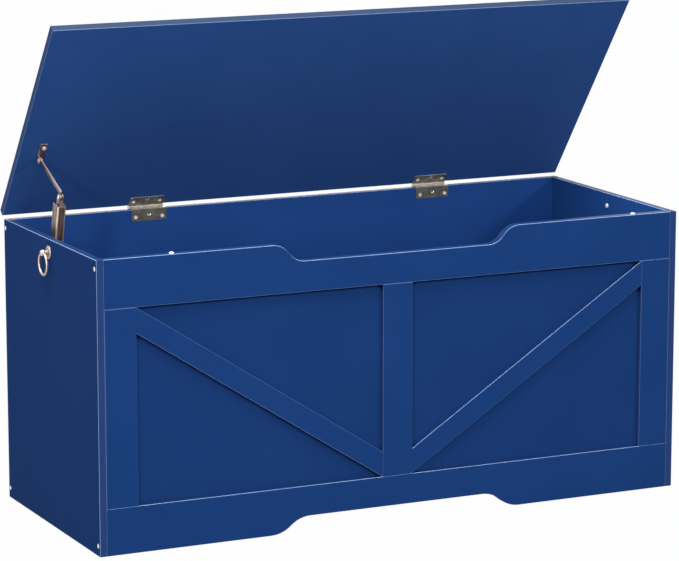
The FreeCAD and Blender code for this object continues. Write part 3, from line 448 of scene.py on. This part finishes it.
# painted light on the inner faces of the right end and the back, and painted shade on the field
rightFinish = {**boardFinish, "paintedLift": (1.70, 1.70, 1.60), "creased": False}
backFinish = {**boardFinish, "paintedLift": (1.55, 1.50, 1.50), "creased": False}
fieldFinish = {**boardFinish, "paintedLift": (0.92, 0.90, 0.91)}
# painted highlight on corners that look down, and on the stiles and the left brace a dimmer painted
# highlight on corners that look up
raisedFinish = {**boardFinish, "underCorner": (0.21, 0.32, 0.66)}
stileFinish = {**raisedFinish, "topCorner": (0.13, 0.19, 0.34)}
braceFinish = {**raisedFinish, "topCorner": (0.060, 0.105, 0.29)}

raised = makeBoardFinish("blue_board_raised", raisedFinish, facings["front"])
stile = makeBoardFinish("blue_board_stile", stileFinish, facings["front"])
ownFinishes = {
    "side_panel_left": makeBoardFinish("blue_board_side", sideFinish, facings["end"]),
    "side_panel_right": makeBoardFinish("blue_board_right", rightFinish, facings["end"]),
    "bottom_panel": makeBoardFinish("blue_board_bottom", boardFinish, facings["bottom"]),
    "lid_panel": makeBoardFinish("blue_board_lid", lidFinish, facings["lid"]),
    "back_panel": makeBoardFinish("blue_board_back", backFinish, facings["front"]),
    "field_panel": makeBoardFinish("blue_board_field", fieldFinish, facings["front"]),
    "top_rail": raised,
    "stile_left": stile,
    "stile_middle": stile,
    "stile_right": stile,
    "brace_left": makeBoardFinish("blue_board_brace", braceFinish, facings["front"]),
    "brace_right": raised,
}
print("finishes made:", len(finishes), "and for single boards:", len(ownFinishes))

# every solid of the chest gets the finish of its kind, or the one of that board
for node in chest.values():
    for place in node.material_slots:
        kind = place.material.name.split(".")[0]
        place.material = ownFinishes.get(node.name, finishes[kind])


# how close two corners are to be one, or a corner to be on a plane, and from which angles an edge counts
meshCare = {
    "weld": 0.000001,
    "near": 0.00001,
    "flat": math.radians(0.5),
    "smooth": math.radians(35),
    "roundSmooth": math.radians(32),
    "bevelFrom": math.radians(40),
    "bevelSteps": 3,
}


def onlySelect(piece):
    bpy.ops.object.select_all(action="DESELECT")
    piece.select_set(True)
    bpy.context.view_layer.objects.active = piece


# picks the corners that wanted() says yes to, and the edges between them
def selectCorners(piece, wanted):
    for point in piece.data.vertices:
        point.select = wanted(point.co)
    for edge in piece.data.edges:
        edge.select = all(piece.data.vertices[end].select for end in edge.vertices)


def boxOf(nodeName):
    return [Vector(corner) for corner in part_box(nodeName)]


# a copy with its own mesh, turned about the upright axis and moved to its place
def copyTo(model, name, place=(0, 0, 0), turn=0.0):
    piece = bpy.data.objects.new(name, model.data.copy())
    piece.data.transform(Matrix.Translation(place) @ Matrix.Rotation(turn, 4, "Z"))
    bpy.context.scene.collection.objects.link(piece)
    return piece


# a CAD node's mesh is loose triangles, so its copy is merged and its flat faces are joined
def copyNode(nodeName, name):
    piece = copyTo(chest[nodeName], name)
    onlySelect(piece)
    bpy.ops.object.mode_set(mode="EDIT")
    bpy.ops.mesh.select_all(action="SELECT")
    bpy.ops.mesh.remove_doubles(threshold=meshCare["weld"])
    bpy.ops.mesh.dissolve_limited(angle_limit=meshCare["flat"])
    bpy.ops.mesh.select_all(action="DESELECT")
    bpy.ops.object.mode_set(mode="OBJECT")
    return piece


def evenOut(piece):
    even = piece.modifiers.new("even", "WEIGHTED_NORMAL")
    even.keep_sharp = True
    bpy.ops.object.modifier_apply(modifier="even")


def easeEdges(piece, width):
    onlySelect(piece)
    bpy.ops.object.shade_smooth_by_angle(angle=meshCare["smooth"])
    ease = piece.modifiers.new("ease", "BEVEL")
    ease.width = width
    ease.segments = meshCare["bevelSteps"]
    ease.angle_limit = meshCare["bevelFrom"]
    bpy.ops.object.modifier_apply(modifier="ease")
    evenOut(piece)


def finishPiece(piece, body, kind, *nodes):
    piece.data.materials.clear()
    piece.data.materials.append(finishes[kind])
    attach(piece, body)
    if nodes:
        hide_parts(*nodes)


# folded metal: the sheet with its sharp arrises eased, so that they catch the light
easedMetal = {
    "hinge_left_carcass_leaf": ("hingeFlangeLeft", "carcass", "hinge_nickel", 0.00022),
    "hinge_right_carcass_leaf": ("hingeFlangeRight", "carcass", "hinge_nickel", 0.00022),
    "hinge_left_lid_leaf": ("hingeLidLeafLeft", "lid", "hinge_nickel", 0.00028),
    "hinge_right_lid_leaf": ("hingeLidLeafRight", "lid", "hinge_nickel", 0.00028),
    "stay_arm": ("stayArmFlat", "stay_arm", "antique_bronze", 0.00040),
    "stay_lid_bracket": ("stayLidBracketFolded", "lid", "antique_bronze", 0.00035),
    "stay_base": ("stayBasePlate", "carcass", "antique_bronze", 0.00035),
}

# the fold of a hinge flange stands clear of the back board, in front of it and above it
hingeBend = {"round": 0.0010, "steps": 4, "clear": 0.0005}


def roundBend(piece, look):
    low, high = boxOf("back_panel")
    front, top = low.y - look["clear"], high.z + look["clear"]
    selectCorners(piece, lambda corner: corner.y < front and corner.z > top)
    bpy.ops.object.mode_set(mode="EDIT")
    bpy.ops.mesh.bevel(offset=look["round"], segments=look["steps"], affect="EDGES")
    bpy.ops.object.mode_set(mode="OBJECT")


for nodeName, (name, body, kind, width) in easedMetal.items():
    sheetPiece = copyNode(nodeName, name)
    if name.startswith("hingeFlange"):
        roundBend(sheetPiece, hingeBend)
    easeEdges(sheetPiece, width)
    finishPiece(sheetPiece, body, kind, nodeName)
print("folded metal eased:", len(easedMetal))


# the arris at the top end of each stile is eased too, and shows as a pale line under the rail: the stile's
# corner colour, a painted highlight on the scraped tape
stileEnd = {"ease": 0.0006, "steps": 1}


def easeStileEnd(side, look):
    nodeName = "stile_" + side
    piece = copyNode(nodeName, "stileEased" + side.title())
    low, high = boxOf(nodeName)
    front, top = low.y + meshCare["near"], high.z - meshCare["near"]
    selectCorners(piece, lambda corner: corner.y < front and corner.z > top)
    bpy.ops.object.mode_set(mode="EDIT")
    bpy.ops.mesh.bevel(offset=look["ease"], segments=look["steps"], affect="EDGES")
    bpy.ops.object.mode_set(mode="OBJECT")
    bpy.ops.object.shade_smooth_by_angle(angle=meshCare["smooth"])
    evenOut(piece)
    finishPiece(piece, "carcass", "blue_board", nodeName)
    piece.data.materials[0] = ownFinishes[nodeName]


for side in ("left", "middle", "right"):
    easeStileEnd(side, stileEnd)
print("stile ends eased")


# a round piece is turned from a disc, ring by ring: each ring is how far out it stands and its radius
# it is turned once, at the origin and pointing to the right, and copied from there to its places
toRight = Vector((1, 0, 0))
outward = {"left": math.pi, "right": 0.0}  # how far a copy is turned round to point out of each end


def turnModel(rings, sides):
    bpy.ops.object.select_all(action="DESELECT")
    lean = toRight.to_track_quat("Z", "Y").to_euler()
    last, lastRadius = rings[0]
    start = toRight * last
    bpy.ops.mesh.primitive_circle_add(
        vertices=sides, radius=lastRadius, fill_type="NGON", location=start, rotation=lean
    )
    bpy.ops.object.mode_set(mode="EDIT")
    for rise, radius in rings[1:]:
        step = toRight * (rise - last)
        bpy.ops.mesh.extrude_region_move(TRANSFORM_OT_translate={"value": step})
        size = radius / lastRadius
        bpy.ops.transform.resize(value=(size, size, size), center_override=toRight * rise)
        last, lastRadius = rise, radius
    bpy.ops.mesh.select_all(action="SELECT")
    bpy.ops.mesh.normals_make_consistent(inside=False)
    bpy.ops.object.mode_set(mode="OBJECT")
    bpy.ops.object.transform_apply(location=True, rotation=True, scale=True)
    bpy.ops.object.shade_smooth_by_angle(angle=meshCare["roundSmooth"])
    return bpy.context.object


# a pin or rivet with a domed head at each end
pinHead = {"angles": (8, 25, 42, 60, 76, 90), "collar": 0.0002, "sides": 40}


def turnPin(length, look):
    rise, head, stem, collar = look["rise"], look["head"], look["stem"], pinHead["collar"]
    dome = []
    for angle in pinHead["angles"]:
        turned = math.radians(angle)
        dome.append((-rise * math.cos(turned), head * math.sin(turned)))
    shank = [(collar, head), (collar, stem), (length - collar, stem), (length - collar, head)]
    farDome = [(length - out, wide) for out, wide in reversed(dome)]
    return turnModel(dome + shank + farDome, pinHead["sides"])


# hinge barrels, and the pin with its two bright domed heads
hingeBarrel = {
    "radius": 0.0029,
    "length": 0.060,
    "count": 5,
    "play": 0.00035,
    "lip": 0.0005,
    "lipShare": 0.3,
    "sides": 40,
    "pin": {"stem": 0.0012, "head": 0.0023, "rise": 0.0015},
}


def turnKnuckle(pitch, look):
    radius, lip = look["radius"], look["lip"]
    slope = lip * look["lipShare"]
    near, far = look["play"], pitch - look["play"]
    nearEnd = [(near, radius - lip), (near + slope, radius - slope), (near + lip, radius)]
    farEnd = [(far - lip, radius), (far - slope, radius - slope), (far, radius - lip)]
    return turnModel(nearEnd + farEnd, look["sides"])


def makeBarrels(look):
    pitch = look["length"] / look["count"]
    knuckleModel = turnKnuckle(pitch, look)
    pinModel = turnPin(look["length"], look["pin"])
    for side in ("left", "right"):
        low, high = boxOf("hinge_" + side + "_pin")
        start = Vector((low.x, (low.y + high.y) / 2, (low.z + high.z) / 2))
        for number in range(look["count"]):
            name = "hingeKnuckle" + side.title() + str(number + 1)
            knuckle = copyTo(knuckleModel, name, start + toRight * pitch * number)
            finishPiece(knuckle, ("carcass", "lid")[number % 2], "hinge_nickel")
        pin = copyTo(pinModel, "hingePin" + side.title(), start)
        finishPiece(pin, "carcass", "zinc_screw", "hinge_" + side + "_pin")
    bpy.data.objects.remove(knuckleModel)
    bpy.data.objects.remove(pinModel)


makeBarrels(hingeBarrel)
print("hinge barrels made")


# the stay's channel ends at its shoulder, and a narrow neck rises out of it to the elbow rivet
stayNeck = {
    "lean": 13.16,
    "shoulder": 0.0117,
    "inward": 0.0040,
    "tail": 0.009,
    "ease": 0.00035,
    "endTurn": 0.9,
    "endNear": 0.0003,
}
stayElbow = {
    "rivet": {"stem": 0.0018, "head": 0.0027, "rise": 0.0010},
    "rivetReach": 0.0035,
    "washer": [(0.0017, 0.0033), (0.0017, 0.0036), (0.0023, 0.0036), (0.0023, 0.0033)],
    "washerSides": 32,
}


# cuts the piece square to along, and closes the cut in its left and right wall
def cutAcross(piece, place, along, keepUpper):
    onlySelect(piece)
    bpy.ops.object.mode_set(mode="EDIT")
    bpy.ops.mesh.select_all(action="SELECT")
    bpy.ops.mesh.bisect(
        plane_co=place, plane_no=along, threshold=meshCare["weld"],
        clear_inner=keepUpper, clear_outer=not keepUpper
    )
    bpy.ops.object.mode_set(mode="OBJECT")

    def onCut(corner):
        return abs((corner - place).dot(along)) < meshCare["near"]

    for way in (-1, 1):
        selectCorners(piece, lambda corner: onCut(corner) and (corner.x - place.x) * way > 0)
        bpy.ops.object.mode_set(mode="EDIT")
        bpy.ops.mesh.edge_face_add()
        bpy.ops.mesh.select_all(action="SELECT")
        bpy.ops.mesh.normals_make_consistent(inside=False)
        bpy.ops.mesh.select_all(action="DESELECT")
        bpy.ops.object.mode_set(mode="OBJECT")


def makeStayNeck(elbow, look):
    lean = math.radians(look["lean"])
    along = Vector((0, -math.sin(lean), math.cos(lean)))
    shoulder = elbow - along * look["shoulder"]
    channel = copyNode("stay_channel", "stayChannelFolded")
    neck = copyNode("stay_channel", "stayChannelNeck")
    cutAcross(channel, shoulder, along, False)
    easeEdges(channel, look["ease"])
    finishPiece(channel, "stay_channel", "antique_bronze", "stay_channel")
    cutAcross(neck, shoulder, along, True)
    for point in neck.data.vertices:
        point.co.x += look["inward"] if point.co.x < elbow.x else -look["inward"]
    for face in neck.data.polygons:
        atShoulder = abs((face.center - shoulder).dot(along)) < look["endNear"]
        face.select = atShoulder and face.normal.dot(along) < -look["endTurn"]
    bpy.ops.object.mode_set(mode="EDIT")
    bpy.ops.mesh.extrude_region_move(TRANSFORM_OT_translate={"value": -along * look["tail"]})
    bpy.ops.object.mode_set(mode="OBJECT")
    easeEdges(neck, look["ease"])
    finishPiece(neck, "stay_channel", "antique_bronze")


def makeStayElbow(elbow, look):
    reach = look["rivetReach"]
    rivetModel = turnPin(2 * reach, look["rivet"])
    rivet = copyTo(rivetModel, "stayElbowRivet", elbow - toRight * reach)
    finishPiece(rivet, "stay_channel", "zinc_screw", "stay_elbow_pin")
    washerModel = turnModel(look["washer"], look["washerSides"])
    for side, turn in outward.items():
        washer = copyTo(washerModel, "stayWasher" + side.title(), elbow, turn)
        finishPiece(washer, "stay_channel", "black_plastic", "stay_spacer_" + side)
    bpy.data.objects.remove(rivetModel)
    bpy.data.objects.remove(washerModel)


elbowLow, elbowHigh = boxOf("stay_elbow_pin")
elbowMiddle = (elbowLow + elbowHigh) / 2
makeStayNeck(elbowMiddle, stayNeck)
makeStayElbow(elbowMiddle, stayElbow)
print("stay neck and elbow made")


# ring pulls: a stepped rosette and a bead round the neck of the post
pullRosette = {
    "steps": [
        (0.0, 0.0105), (0.0007, 0.0105), (0.0012, 0.01035), (0.0015, 0.0099), (0.0016, 0.0093),
        (0.0017, 0.0088), (0.0021, 0.0085), (0.0024, 0.0078), (0.0026, 0.0066), (0.0028, 0.0050),
        (0.0028, 0.0012),
    ],
    "stepSides": 64,
    "bead": [
        (0.0024, 0.0033), (0.0026, 0.0041), (0.0030, 0.0045),
        (0.0034, 0.0045), (0.0038, 0.0041), (0.0040, 0.0033),
    ],
    "beadSides": 48,
}


def makeRosettes(look):
    rosetteModel = turnModel(look["steps"], look["stepSides"])
    beadModel = turnModel(look["bead"], look["beadSides"])
    for side, turn in outward.items():
        low, high = boxOf("pull_rosette_" + side)
        face = high.x if side == "left" else low.x  # the end board's outer face
        centre = Vector((face, (low.y + high.y) / 2, (low.z + high.z) / 2))
        rosette = copyTo(rosetteModel, "pullRosette" + side.title(), centre, turn)
        finishPiece(rosette, "carcass", "antique_bronze", "pull_rosette_" + side)
        bead = copyTo(beadModel, "pullBead" + side.title(), centre, turn)
        finishPiece(bead, "carcass", "antique_bronze")
    bpy.data.objects.remove(rosetteModel)
    bpy.data.objects.remove(beadModel)


makeRosettes(pullRosette)
print("pull rosettes made")


# floor and light: both look white, and give the lamps a pale floor and a weak sky
studio = {
    "floorSize": 60.0,
    "floorPale": 0.28,
    "floorRough": 0.9,
    "floorWhite": 0.985,
    "skyTint": (0.97, 0.985, 1.0),
    "skyLight": 0.27,
    "skyWhite": 1.0,
}
lamps = {
    "frontLamp": {"place": (-1.2, -4.4, 1.7), "aim": (0.0, 0.0, 0.45), "size": 2.0, "power": 90.0},
    "leftLamp": {"place": (-3.3, -3.1, 1.75), "aim": (0.0, 0.0, 0.45), "size": 0.5, "power": 40.0},
    "rightLamp": {"place": (2.4, -3.9, 1.8), "aim": (0.0, 0.0, 0.45), "size": 0.35, "power": 44.0},
    "backLamp": {"place": (1.3, 4.4, 2.6), "aim": (0.0, 0.0, 0.4), "size": 2.4, "power": 70.0},
    "topLamp": {"place": (-0.9, -0.6, 3.2), "aim": (0.0, 0.0, 0.3), "size": 2.2, "power": 150.0},
}


# 1 for the rays of the camera and for those that metal and glass send on, and 0 for the light itself
def addSeen(tree):
    rays = tree.nodes.new("ShaderNodeLightPath")
    seen = rays.outputs["Is Camera Ray"]
    for name in ("Is Glossy Ray", "Is Transmission Ray"):
        seen = addNumber(tree, "MAXIMUM", seen, rays.outputs[name])
    return seen


def blendShaders(tree, share, plain, white, output):
    blend = tree.nodes.new("ShaderNodeMixShader")
    for source, socket in zip((share, plain, white), blend.inputs):
        tree.links.new(source, socket)
    tree.links.new(blend.outputs[0], tree.nodes[output].inputs["Surface"])


def makeFloor(look):
    bpy.ops.object.select_all(action="DESELECT")
    bpy.ops.mesh.primitive_plane_add(size=look["floorSize"])
    floor = bpy.context.object
    floor.name = "paleFloor"
    material, tree, shader = startFinish("pale_floor")
    shader.inputs["Base Color"].default_value = (look["floorPale"],) * 3 + (1,)
    shader.inputs["Roughness"].default_value = look["floorRough"]
    shader.inputs["Specular IOR Level"].default_value = 0.0
    white = tree.nodes.new("ShaderNodeEmission")
    share = addNumber(tree, "MULTIPLY", addSeen(tree), look["floorWhite"])
    blendShaders(tree, share, shader.outputs[0], white.outputs[0], "Material Output")
    floor.data.materials.append(material)


def makeSky(look):
    world = bpy.data.worlds.new("studioWorld")
    world.use_nodes = True
    bpy.context.scene.world = world
    tree = world.node_tree
    light = tree.nodes["Background"]
    light.inputs["Color"].default_value = (*look["skyTint"], 1)
    light.inputs["Strength"].default_value = look["skyLight"]
    white = tree.nodes.new("ShaderNodeBackground")
    white.inputs["Color"].default_value = (1, 1, 1, 1)
    white.inputs["Strength"].default_value = look["skyWhite"]
    blendShaders(tree, addSeen(tree), light.outputs[0], white.outputs[0], "World Output")


def makeLamp(name, look):
    away = Vector(look["place"]) - Vector(look["aim"])
    turn = away.to_track_quat("Z", "Y").to_euler()
    bpy.ops.object.light_add(type="AREA", location=look["place"], rotation=turn)
    lamp = bpy.context.object
    lamp.name = name
    lamp.data.size = look["size"]
    lamp.data.energy = look["power"]


makeFloor(studio)
makeSky(studio)
for lampName, lampLook in lamps.items():
    makeLamp(lampName, lampLook)
bpy.context.scene.view_settings.view_transform = "Standard"
print("floor and light set")
